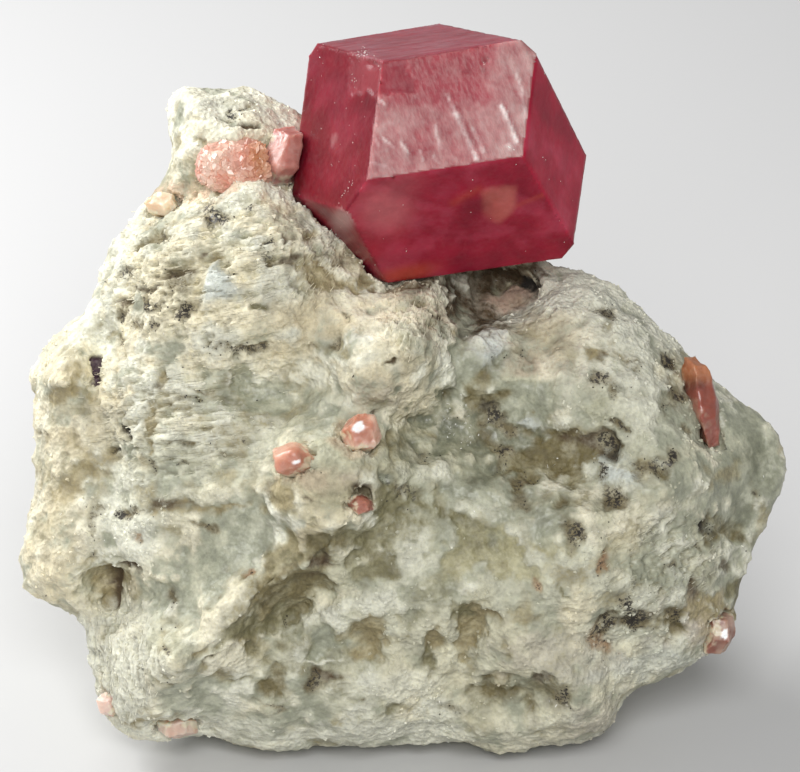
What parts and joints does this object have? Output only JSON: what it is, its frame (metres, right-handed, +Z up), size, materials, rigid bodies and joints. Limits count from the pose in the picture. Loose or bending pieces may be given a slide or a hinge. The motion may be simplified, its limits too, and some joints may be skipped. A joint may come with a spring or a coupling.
{
  "type": "grossular garnet specimen",
  "caption": "Natural mineral specimen: a red dodecahedral garnet crystal perched on a lump of pale rock that holds smaller pink and orange garnets.",
  "frame": {"origin": "centre of the object's footprint box, on the level of its flat foot", "axes": "+Z up from the foot, +X to the viewer's right along the longest side, -Y towards the viewer of the broken front face"},
  "size_m": [0.046, 0.0298, 0.0426],
  "materials": {
    "matrix_rock": "broken, granular and fibrous, dull, with glassy patches",
    "raspberry_garnet": "vitreous crystal faces, one of them naturally etched",
    "pink_garnet": "vitreous, slightly frosted",
    "orange_garnet": "vitreous, uneven"
  },
  "bodies": {
    "root": {"matrix": "matrix_rock", "main_garnet": "raspberry_garnet", "pink_garnet_crust": "pink_garnet", "salmon_garnet": "pink_garnet", "spur_garnet": "pink_garnet", "shelf_garnet": "pink_garnet", "lobe_garnet": "pink_garnet", "pocket_garnet": "pink_garnet", "crevice_garnet": "orange_garnet", "corner_garnet": "pink_garnet", "left_foot_garnet": "pink_garnet", "foot_garnet": "pink_garnet"}
  },
  "joints": []
}
